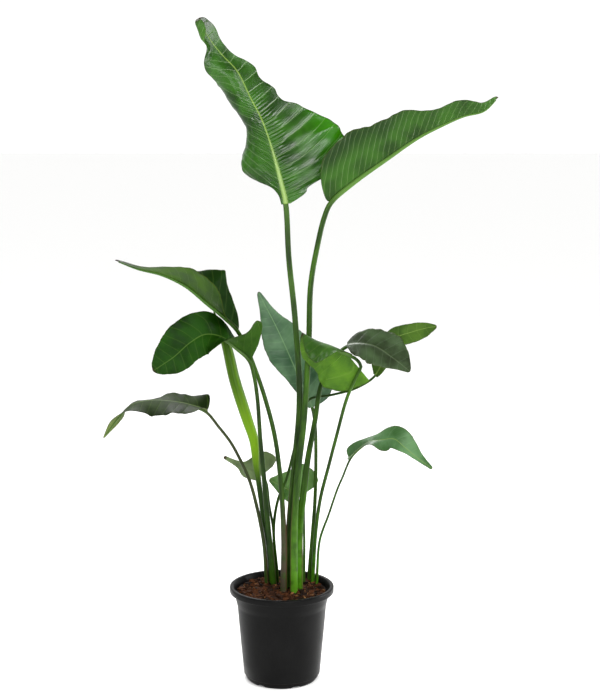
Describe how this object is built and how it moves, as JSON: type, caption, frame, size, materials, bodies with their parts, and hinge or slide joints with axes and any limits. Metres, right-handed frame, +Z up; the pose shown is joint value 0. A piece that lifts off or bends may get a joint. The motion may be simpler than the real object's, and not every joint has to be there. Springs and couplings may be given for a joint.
{
  "type": "potted bird of paradise plant",
  "caption": "Broad-leaved house plant in a plain round nursery pot: long stalks fan out of the potting mix and carry large paddle-shaped leaves, with one leaf still rolled.",
  "frame": {"origin": "centre of the pot's underside, on the surface that the pot stands on", "axes": "+Z up along the pot's axis, -Y towards the front of the plant, +X to the right as seen from the front"},
  "size_m": [0.884, 0.24, 1.5133],
  "materials": {
    "pot_plastic": "satin black moulded polypropylene",
    "potting_mix": "loose dry bark and coir potting mix",
    "stalk_green": "smooth satin leaf stalk",
    "leaf_green": "glossy leathery leaf",
    "young_green": "satin soft young leaf"
  },
  "bodies": {
    "root": {"pot": "pot_plastic", "potting_mix": "potting_mix", "tall_left_leaf_stalk": "stalk_green", "tall_left_leaf_blade": "leaf_green", "tall_right_leaf_stalk": "stalk_green", "tall_right_leaf_blade": "leaf_green", "upper_left_leaf_stalk": "stalk_green", "upper_left_leaf_blade": "leaf_green", "middle_left_leaf_stalk": "stalk_green", "middle_left_leaf_blade": "leaf_green", "lowest_left_leaf_stalk": "stalk_green", "lowest_left_leaf_blade": "leaf_green", "rear_upright_leaf_stalk": "stalk_green", "rear_upright_leaf_blade": "leaf_green", "middle_centre_leaf_stalk": "stalk_green", "middle_centre_leaf_blade": "leaf_green", "middle_right_leaf_stalk": "stalk_green", "middle_right_leaf_blade": "leaf_green", "far_right_leaf_stalk": "stalk_green", "far_right_leaf_blade": "leaf_green", "lower_right_leaf_stalk": "stalk_green", "lower_right_leaf_blade": "leaf_green", "small_rear_leaf_stalk": "stalk_green", "small_rear_leaf_blade": "leaf_green", "small_round_leaf_stalk": "stalk_green", "small_round_leaf_blade": "leaf_green", "rolled_young_leaf": "young_green"}
  },
  "joints": []
}
